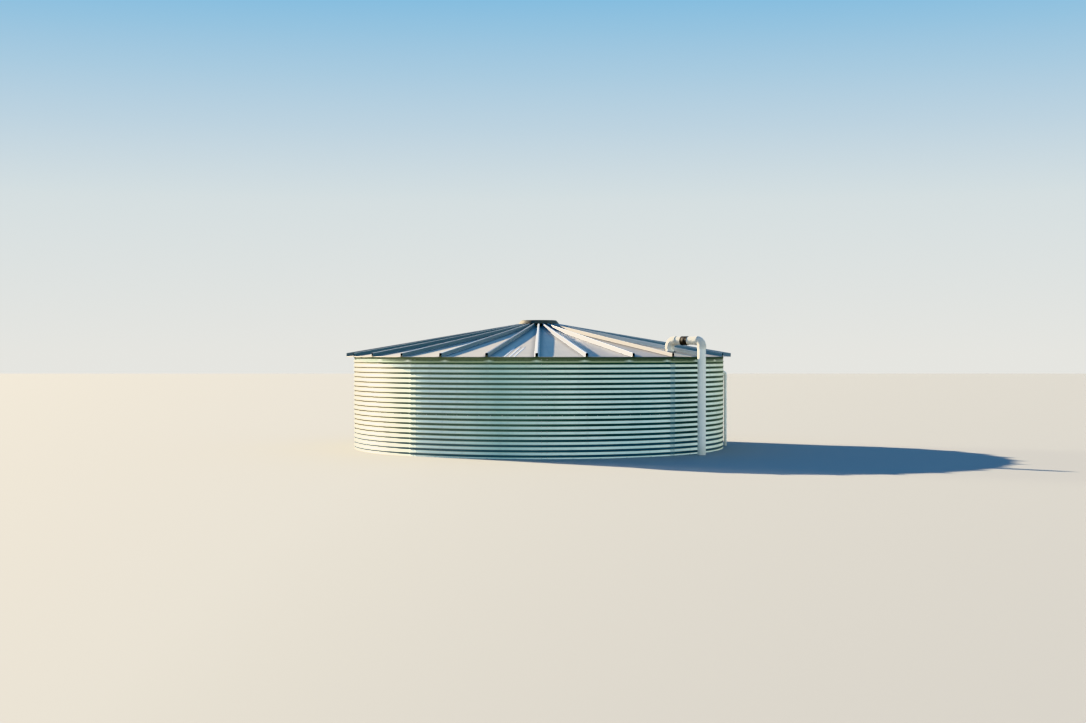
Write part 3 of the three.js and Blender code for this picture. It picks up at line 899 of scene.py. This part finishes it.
def straight(start, end, radius, bore, chamfer=0.003):
    """A straight pipe with small chamfers at its ends."""
    length = np.linalg.norm(end - start)
    way = (end - start) / length
    along = np.array([0, *np.linspace(chamfer, length - chamfer, PIPE_ROWS), length])
    size = np.full(len(along), radius)
    size[[0, -1]] -= chamfer
    upright = abs(way[2]) > 0.9
    sideways = np.cross(np.array([0.0, 1.0, 0.0]) if upright else UP, way)
    sideways /= np.linalg.norm(sideways)
    in_plane = np.cross(way, sideways)
    centres = start + along[:, None] * way
    return swept(centres, np.broadcast_to(in_plane, centres.shape), sideways, size, bore)


def collar_radius(along, length, body, hub, mouth):
    """An elbow's radius: the hub's over a mouth at each end, easing to the body's between."""
    from_end = np.minimum(along, length - along)
    size = hub + (body - hub) * smooth_step(from_end, mouth, mouth + EASE)
    return size - CHAMFER * (1 - smooth_step(from_end, 0, CHAMFER))


def elbow(corner, first, second, bend, reach, body, hub, bore, mouth):
    """A right-angle bend: straight, then a quarter circle about corner + bend (first + second),
    then straight. Along the quarter circle the point is centre - bend (second cos f + first sin f)."""
    leg = reach - bend
    arc = np.pi / 2 * bend
    length = 2 * leg + arc
    fine = np.array([0, 0.001, CHAMFER, mouth, mouth + 0.003, mouth + 0.006, mouth + EASE])
    along = np.unique(np.concatenate([fine, length - fine, np.linspace(leg, leg + arc, BEND_POINTS)]))
    turn = np.clip((along - leg) / bend, 0, np.pi / 2)[:, None]
    in_plane = second * np.cos(turn) + first * np.sin(turn)
    centres = corner + bend * (first + second) - bend * in_plane
    centres += first * np.clip(leg - along, 0, None)[:, None]
    centres += second * np.clip(along - leg - arc, 0, None)[:, None]
    sideways = np.cross(in_plane[0], -first)
    return swept(centres, in_plane, sideways, collar_radius(along, length, body, hub, mouth), bore)


class PipeRun:
    """Pipes and elbows of one size in one upright plane, where a place is (distance out, height)."""

    def __init__(self, bearing, radius, bore, chamfer, bend, socket, body, hub, mouth):
        self.out = outward(bearing)
        self.radius, self.bore, self.chamfer = radius, bore, chamfer
        self.sleeve = radius + CLEARANCE  # a fitting's bore
        reach = bend + math.pi / 8 * bend  # from an elbow's corner to its mouths
        self.seat = reach - socket  # and to the end of the pipe in it
        self.elbow_sizes = (bend, reach, body, hub, self.sleeve, mouth)

    def at(self, out, z):
        return self.out * out + UP * z

    def pipe(self, start, end):
        return straight(self.at(*start), self.at(*end), self.radius, self.bore, self.chamfer)

    def elbow(self, out, z, side):
        """A bend from straight down to outwards (side 1) or inwards (side -1)."""
        return elbow(self.at(out, z), -UP, side * self.out, *self.elbow_sizes)


def add_pipes(title, bodies):
    """Bodies are listed as piece name: (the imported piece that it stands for, body)."""
    for name, (node, body) in bodies.items():
        add_piece(name, body, WHITE_PIPE, "pvc", [node])
    print(title, len(bodies), "pieces")


# %% [markdown]
# The fill pipe
#
# A 6 inch pipe rises beside the wall, crosses over the eave and drops through the roof. Pipes run
# some way into the fittings, as glued ones do.

# %% Fill pipe
FILL = PipeRun(math.radians(49.4), radius=0.08415, bore=0.077, chamfer=0.003, bend=0.116, socket=0.045,
               body=0.0890, hub=0.0935, mouth=0.062)
RISER, DROP, RUN_Z = 4.400, 3.600, 2.340  # the two upright legs' distances out, the run's height
DROP_FOOT = 1.950  # the drop ends under the roof
COUPLING = (3.900, 4.062)  # the rubber coupling's ends
MIDDLE, END_GAP = sum(COUPLING) / 2, 0.004  # its pipes stop a gap short of its middle

add_pipes("fill pipe:", {
    "riser_pipe": ("fill_riser", FILL.pipe((RISER, 0.0), (RISER, RUN_Z - FILL.seat))),
    "upper_elbow": ("fill_upper_elbow", FILL.elbow(RISER, RUN_Z, -1)),
    "run_pipe": ("fill_run_pipe", FILL.pipe((MIDDLE + END_GAP, RUN_Z), (RISER - FILL.seat, RUN_Z))),
    "stub_pipe": ("fill_stub_pipe", FILL.pipe((DROP + FILL.seat, RUN_Z), (MIDDLE - END_GAP, RUN_Z))),
    "drop_elbow": ("fill_drop_elbow", FILL.elbow(DROP, RUN_Z, 1)),
    "drop_pipe": ("fill_drop_pipe", FILL.pipe((DROP, DROP_FOOT), (DROP, RUN_Z - FILL.seat))),
})

# %% [markdown]
# The overflow pipe
#
# A 2 inch pipe leaves the wall near its top through a round flange and turns down to the ground. It
# is made from the same surfaces at another size.

# %% Overflow pipe
THIN = PipeRun(FIRST_SEAM + 2.3 * SHEET_STEP, radius=0.03015, bore=0.02625, chamfer=0.002, bend=0.048,
               socket=0.018, body=0.034, hub=0.0365, mouth=0.024)
THIN_DOWN, THIN_Z = 4.211, WALL_TOP - 3.75 * PITCH  # the downpipe's distance out, the pipe's height
THIN_START = 3.980  # the pipe starts inside the wall
JOINER_R, JOINER_LOW, JOINER_HIGH = 0.0365, 1.482, 1.582
FLANGE_R, FLANGE_IN, FLANGE_OUT = 0.054, 4.0896, 4.1176

through = THIN.pipe((THIN_START, THIN_Z), (THIN_DOWN - THIN.seat, THIN_Z))
flange = straight(THIN.at(FLANGE_IN, THIN_Z), THIN.at(FLANGE_OUT, THIN_Z), FLANGE_R, THIN.sleeve)
ends = THIN.at(THIN_DOWN, JOINER_LOW), THIN.at(THIN_DOWN, JOINER_HIGH)
joiner = straight(*ends, JOINER_R, THIN.sleeve, THIN.chamfer)
add_pipes("overflow pipe:", {
    "overflow_through": ("overflow_pipe", through),
    "overflow_flange": ("overflow_wall_flange", flange),
    "overflow_bend": ("overflow_elbow", THIN.elbow(THIN_DOWN, THIN_Z, -1)),
    "overflow_hub": ("overflow_coupling", joiner),
    "overflow_down": ("overflow_downpipe", THIN.pipe((THIN_DOWN, 0.0), (THIN_DOWN, THIN_Z - THIN.seat))),
})

# %% [markdown]
# Rubber, clamps and the roof's pipe flange
#
# The coupling is a rubber sleeve with raised ends, pulled tight by two steel bands. They are profiles
# turned about the run's line, and a worm screw in its housing lies across each band. The flange at
# the roof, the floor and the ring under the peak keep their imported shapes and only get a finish.

# %% Small finishes
def plain(name, light, dark, scale, rough, metallic=0.0):
    """A finish with clouds between two close colours, and a fine bump."""
    finish = Finish(name)
    clouds = finish.place.noise(scale, 4.0, 0.6)
    colour = clouds.step(0.3, 0.72).mix(light, dark)
    return finish.set(Base_Color=colour, Metallic=metallic, Roughness=rough + clouds * 0.15,
                      Normal=finish.bump(finish.place.noise(scale * 14, 2.0), 0.08))


RUBBER = plain("black_rubber", srgb(26, 20, 17), srgb(14, 11, 10), 14.0, 0.55)
BAND_STEEL = plain("band_steel", srgb(48, 42, 36), srgb(30, 27, 24), 30.0, 0.45, 0.4)
BOLT_STEEL = plain("bolt_zinc", srgb(186, 190, 190), srgb(150, 154, 156), 60.0, 0.35, 0.7)
LINER = plain("tank_liner", srgb(58, 92, 112), srgb(44, 76, 96), 2.0, 0.55)
FLASHING = plain("pipe_flashing", srgb(60, 60, 60), srgb(40, 41, 42), 12.0, 0.5)
for node, finish in (("floor", LINER), ("peak_ring", PANEL_STEEL), ("roof_pipe_flange", FLASHING)):
    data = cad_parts[node].data
    data.materials.clear()
    data.materials.append(finish)

# %% Coupling and bands
SLEEVE_END = [  # distance from the sleeve's end, and radius
    (0.0, FILL.sleeve), (0.0, 0.090), (0.003, 0.0925), (0.014, 0.0925), (0.018, 0.0912),
    (0.038, 0.0912), (0.042, 0.0925),
]
BAND_IN, BAND_OUT, BAND_WIDE = 0.0915, 0.0932, 0.014
BAND_INSET = 0.020  # from the sleeve's end to the band
HOUSING_R = 0.0975  # the worm screw's distance from the pipe's axis
HOUSING_ANGLE = math.radians(160)  # and its place round the pipe, from the top
HOUSING_SIDES = 16
HOUSING = capped([  # distance along the screw, and radius: the slim housing, then the screw's head
    (-0.016, 0.0045), (-0.015, 0.0055), (0.010, 0.0055), (0.010, 0.0042),
    (0.014, 0.0042), (0.014, 0.0065), (0.020, 0.0065),
])


def round_run(profile):
    """A profile of (distance out, radius) turned about the run's line."""
    return spun(profile, FILL.at(0.0, RUN_Z), FILL.out, UP, PIPE_SIDES)


def worm_housing(out):
    """The screw's rod, turned about its own axis: it touches the band and points round the pipe."""
    side = np.cross(FILL.out, UP)
    away = math.cos(HOUSING_ANGLE) * UP + math.sin(HOUSING_ANGLE) * side
    way = math.sin(HOUSING_ANGLE) * UP - math.cos(HOUSING_ANGLE) * side
    return spun(HOUSING, FILL.at(out, RUN_Z) + HOUSING_R * away, way, away, HOUSING_SIDES)


near, far = COUPLING
profile = [(near + step, r) for step, r in SLEEVE_END]
profile += [(far - step, r) for step, r in reversed(SLEEVE_END)]
add_piece("coupling_sleeve", round_run(profile), RUBBER, "rubber", ["rubber_coupling"])
for number, start in ((1, far - BAND_INSET - BAND_WIDE), (2, near + BAND_INSET)):
    end = start + BAND_WIDE
    band = round_run([(start, BAND_IN), (start, BAND_OUT), (end, BAND_OUT), (end, BAND_IN)])
    body = joined([band, worm_housing(start + BAND_WIDE / 2)])
    add_piece(f"band_{number}", body, BAND_STEEL, "clamp", [f"coupling_clamp_{number}"])
print("coupling:", len(profile), "points in its profile, and two bands")

# %% [markdown]
# Bolts
#
# Every lap is bolted: two rows beside each upright seam, one bolt to a corrugation, and one row
# round the ring lap. A bolt here is a hexagon head on an eight-sided washer, some sixty faces, made
# once and copied by arrays into one mesh per kind of seam.

# %% Wall bolts
BOLT_ROW = 0.055  # a row's distance from its seam
RING_BOLTS = 108
RING_BOLT_DROP = 0.016  # their distance under the ring joint
RING_BOLT_LIFT = 0.0012  # and how far the lap lifts them out of the valley


def bolt():
    """A washer and a head with a chamfer, each a profile of (distance out, radius) turned about local
    x, which is outwards."""
    out, side = np.array([1.0, 0.0, 0.0]), np.array([0.0, 1.0, 0.0])
    washer = spun(capped([(-0.001, 0.011), (0.0018, 0.011)]), np.zeros(3), out, side, 8)
    head = capped([(0.0018, 0.0085), (0.0065, 0.0085), (0.0082, 0.0068)])
    return joined([washer, spun(head, np.zeros(3), out, side, 6)])


BOLT = bolt()


def bolts(radius, bearing, z):
    """The bolt at each place: its local x points outwards there, local y sideways, local z up."""
    radius, bearing, z = (np.ravel(v) for v in np.broadcast_arrays(radius, bearing, z))
    up = np.broadcast_to(UP, (len(bearing), 3))
    axes = np.stack([outward(bearing), tangent(bearing), up], axis=1)
    return copies(BOLT, polar(radius, bearing, z), axes)


valley = WALL_RADIUS - DEPTH / 2
heights = FIRST_CREST - PITCH / 2 - np.arange(WALL_PITCHES) * PITCH
seams = FIRST_SEAM + np.arange(SHEETS) * SHEET_STEP
rows = (seams[:, None] + np.array([-BOLT_ROW, BOLT_ROW]) / WALL_RADIUS)[..., None]
add_piece("seam_bolts", bolts(valley + LAP_STEP, rows, heights), BOLT_STEEL, "wall")
around = FIRST_SEAM + (np.arange(RING_BOLTS) + 0.5) * (2 * math.pi / RING_BOLTS)
ring = bolts(valley + RING_BOLT_LIFT, around, RING_JOINT - RING_BOLT_DROP)
add_piece("ring_bolts", ring, BOLT_STEEL, "wall")
print("bolts:", rows.size * len(heights), "on the seams and", RING_BOLTS, "on the ring lap")

# %% [markdown]
# Roof screws
#
# Small screws hold the ribs' flanges to the panels. They hardly show from the front, but do from
# close by. The wall's bolt is used again at about half its size, tilted to stand on the slope.

# %% Roof screws
SCREW_GAP = 0.30  # from screw to screw along a rib's flange
SCREW_SIZE = 0.55  # a roof screw's head against a wall bolt's
SCREW_MARGINS = (0.10, 0.30)  # no screw is nearer to the eave, or to the peak
SCREW_SEAT = HAT_THICK + 0.0012  # their height over the rib's foot line
SCREW_ASIDE = HAT_FOOT + 0.55 * HAT_FLANGE


def screws():
    """One row along each flange of each rib: local x is the slope's normal, local y the rib's side."""
    along = np.arange(EAVE_RADIUS - SCREW_MARGINS[0], PEAK_RADIUS + SCREW_MARGINS[1], -SCREW_GAP)
    rib, hand, along = (v.ravel() for v in np.meshgrid(np.arange(RIBS), [-1, 1], along, indexing="ij"))
    line, side = rib_frame(rib, along)
    seats = line + (hand * SCREW_ASIDE * taper(along))[:, None] * side + UP * SCREW_SEAT
    tilt = math.atan(ROOF_SLOPE)
    normal = UP * math.cos(tilt) + outward(FIRST_RIB + rib * RIB_STEP) * math.sin(tilt)
    return copies(BOLT, seats, np.stack([normal, side, np.cross(normal, side)], axis=1), SCREW_SIZE)


body = screws()
add_piece("roof_screws", body, BOLT_STEEL, "roof")
print("roof screws:", len(body[0]) // len(BOLT[0]), "of", len(BOLT[1]), "faces each")

# %% [markdown]
# Floor and light
#
# The floor is a plain pale sheet. One warm, low key stands to the left and slightly behind, at the
# angle of the ribs' shadows in the photograph, with a wide, weak glow beside it. The rest is sky:
# pale at the horizon, and above it the blue that the shaded roof steel shows.

# %% Floor and light
GLOW_BEARING = math.radians(-119)  # the sky's glow beside the sun
HAZE_BEARING = math.radians(50)  # the middle of the pale haze
FLOOR_HALF = 120.0


def floor():
    """One square, wide enough to reach the horizon."""
    mesh = bpy.data.meshes.new("studio_floor")
    corners = [(-1, -1), (1, -1), (1, 1), (-1, 1)]
    mesh.from_pydata([(x * FLOOR_HALF, y * FLOOR_HALF, 0) for x, y in corners], [], [(0, 1, 2, 3)])
    finish = Finish("studio_floor")
    mesh.materials.append(finish.set(Base_Color=(0.37, 0.38, 0.37, 1), Roughness=0.9))
    ground = linked("studio_floor", mesh)


def sky():
    """Pale at the horizon and blue above, with a haze low behind the camera and to its right."""
    world = bpy.data.worlds.new("studio_sky")
    bpy.context.scene.world = world
    world.use_nodes = True
    tree = world.node_tree
    place = Value(tree, None).node("ShaderNodeTexCoord", output="Generated")
    height = place.part(2)
    to_haze = place.part(0) * math.sin(HAZE_BEARING) - place.part(1) * math.cos(HAZE_BEARING)
    stops = [(0.0, srgb(236, 236, 231)), (0.10, srgb(220, 229, 231)), (0.23, srgb(142, 196, 229)),
             (0.36, srgb(78, 160, 220)), (1.0, srgb(33, 104, 178))]
    blue = height.node("ShaderNodeValToRGB", {"stops": stops}, {0: height})
    haze = to_haze.step(-0.35, 0.8) * (1 - height.step(0.30, 0.72)) * height.step(0.0, 0.12)
    colour = haze.mix(blue, (1.16, 1.26, 1.16, 1))
    tree.links.new(colour.socket, tree.nodes["Background"].inputs["Color"])


def sun(name, bearing, elevation, energy, angle, colour):
    """A sun lamp: bearing and elevation say where its light comes from, angle how wide it looks."""
    light = bpy.data.lights.new(name, "SUN")
    light.energy, light.angle, light.color = energy, angle, colour
    linked(name, light).rotation_euler = (math.pi / 2 - elevation, 0, bearing)


floor()
sky()
sun("key", SUN_BEARING, math.radians(17.8), 16.0, math.radians(0.8), (1.0, 0.81, 0.56))
sun("low_glow", GLOW_BEARING, math.radians(5.5), 3.0, math.radians(10.0), (1.0, 0.90, 0.72))
bpy.context.scene.view_settings.view_transform = "Khronos PBR Neutral"
